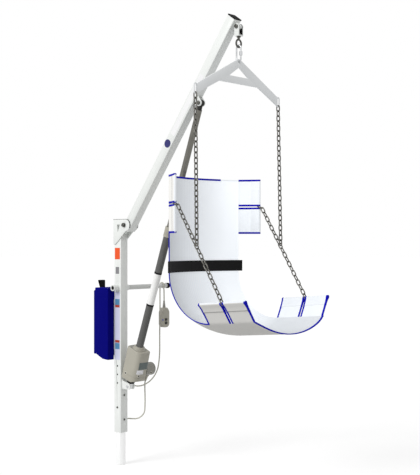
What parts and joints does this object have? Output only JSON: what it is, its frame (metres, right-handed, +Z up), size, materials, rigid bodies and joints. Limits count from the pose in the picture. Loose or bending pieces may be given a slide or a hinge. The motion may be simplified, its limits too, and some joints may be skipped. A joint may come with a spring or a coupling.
{
  "type": "pool patient lift",
  "caption": "Deck-post pool lift: square mast, pivoting boom raised by an electric actuator, chain-hung fabric sling seat, hand control and covered battery pack.",
  "frame": {"origin": "centre of the deck post's lower end face", "axes": "+Z up along the post and mast, +X the way the boom reaches, +Y towards the push handle"},
  "size_m": [1.2885, 0.6953, 2.2478],
  "materials": {
    "mast_paint": "gloss white powder coat",
    "spreader_paint": "light blue-grey coat",
    "tube_paint": "satin dark grey",
    "rod_steel": "ground rod",
    "dark_steel": "dull zinc",
    "chain_steel": "welded stainless links",
    "bright_steel": "polished stainless",
    "nylon": "natural nylon",
    "beige_plastic": "fine-grained moulding",
    "grey_plastic": "fine-grained moulding",
    "black_plastic": "satin moulding",
    "cord_skin": "matt cable skin",
    "navy_fabric": "coated cover cloth",
    "sling_fabric": "open mesh cloth with bound edges",
    "black_webbing": "woven webbing"
  },
  "bodies": {
    "mast": {"post": "mast_paint", "mast_tube": "mast_paint", "side_plate_left": "mast_paint", "side_plate_right": "mast_paint", "pivot_bolt": "dark_steel", "pivot_nut": "dark_steel", "post_bolt_1": "dark_steel", "post_bolt_2": "dark_steel", "post_bolt_3": "dark_steel", "actuator_bracket": "mast_paint", "lower_pin": "bright_steel", "lower_pin_nut": "bright_steel", "handle_sleeve": "mast_paint", "handle_bar": "mast_paint", "handle_cap": "black_plastic", "handset_shell": "beige_plastic", "handset_relief": "grey_plastic", "handset_cord": "cord_skin", "handset_grommet": "black_plastic", "actuator_cable": "cord_skin", "cable_grommet": "black_plastic", "pack_plate": "mast_paint", "control_box": "grey_plastic"},
    "button_up": {"button_up": "grey_plastic"},
    "button_down": {"button_down": "grey_plastic"},
    "battery": {"battery": "grey_plastic"},
    "cover": {"battery_cover": "navy_fabric", "cover_strap": "black_webbing"},
    "boom": {"boom_tube": "mast_paint", "boom_cap": "black_plastic", "pivot_bush_left": "nylon", "pivot_bush_right": "nylon", "upper_pin_head": "dark_steel", "upper_pin_nut": "dark_steel", "tip_pin": "dark_steel", "tip_pin_nut": "dark_steel"},
    "actuator": {"rear_eye": "black_plastic", "actuator_housing": "beige_plastic", "motor_can": "grey_plastic", "cable_gland": "grey_plastic", "outer_tube": "tube_paint", "tube_collar": "beige_plastic"},
    "rod": {"rod_tube": "rod_steel", "rod_eye": "rod_steel"},
    "hanger": {"hanger_clevis": "mast_paint"},
    "swivel": {"eye_bolt": "dark_steel", "stem_nut": "dark_steel"},
    "spreader": {"quick_link": "bright_steel", "spreader_plate": "spreader_paint"},
    "seat": {"hanging_chain_left": "chain_steel", "hanging_chain_right": "chain_steel", "side_chain_left": "chain_steel", "side_chain_right": "chain_steel", "seat_sling": "sling_fabric", "seat_belt": "black_webbing", "back_rod_left": "bright_steel", "back_rod_right": "bright_steel", "front_rod_left": "bright_steel", "front_rod_right": "bright_steel"}
  },
  "joints": [
    {"name": "boom_lift", "type": "hinge", "parent": "mast", "child": "boom", "pos_m": [0.056, 0, 1.255], "axis": [0, -1, 0], "range_deg": [-60, 0]},
    {"name": "actuator_tilt", "type": "hinge", "parent": "mast", "child": "actuator", "pos_m": [0.066, 0, 0.415], "axis": [0, -1, 0], "range_deg": [-28.37, 0.1], "deforming": ["actuator_cable"]},
    {"name": "actuator_extend", "type": "slide", "parent": "actuator", "child": "rod", "axis": [0.329, 0, 0.9443], "range_m": [-0.489, 0.001]},
    {"name": "hanger_swing", "type": "hinge", "parent": "boom", "child": "hanger", "pos_m": [0.80412, 0, 2.18289], "axis": [0, -1, 0], "range_deg": [-0.1, 60.1]},
    {"name": "swivel_turn", "type": "hinge", "parent": "hanger", "child": "swivel", "pos_m": [0.80412, 0, 2.13789], "axis": [0, 0, 1], "range_deg": [-80, 80]},
    {"name": "spreader_rock", "type": "hinge", "parent": "swivel", "child": "spreader", "pos_m": [0.80412, 0, 2.09491], "axis": [-1, 0, 0], "range_deg": [-3, 3]},
    {"name": "seat_swing", "type": "hinge", "parent": "spreader", "child": "seat", "pos_m": [0.80412, 0, 1.83532], "axis": [0, -1, 0], "range_deg": [-6, 20]},
    {"name": "button_up_press", "type": "slide", "parent": "mast", "child": "button_up", "axis": [-1, 0, 0], "range_m": [0, 0.002], "stiffness_N_per_m": 300, "springref_m": -0.002},
    {"name": "button_down_press", "type": "slide", "parent": "mast", "child": "button_down", "axis": [-1, 0, 0], "range_m": [0, 0.002], "stiffness_N_per_m": 300, "springref_m": -0.002},
    {"name": "battery_lift", "type": "slide", "parent": "mast", "child": "battery", "axis": [0, 0, 1], "range_m": [0, 0.025]},
    {"name": "cover_lift", "type": "slide", "parent": "mast", "child": "cover", "axis": [0, 0, 1], "range_m": [0, 0.4]}
  ],
  "couplings": [
    {"joint": "actuator_tilt", "follows": "boom_lift", "ratio": 0.46942},
    {"joint": "actuator_extend", "follows": "boom_lift", "m_per_rad": 0.46614},
    {"joint": "hanger_swing", "follows": "boom_lift", "ratio": -1}
  ]
}
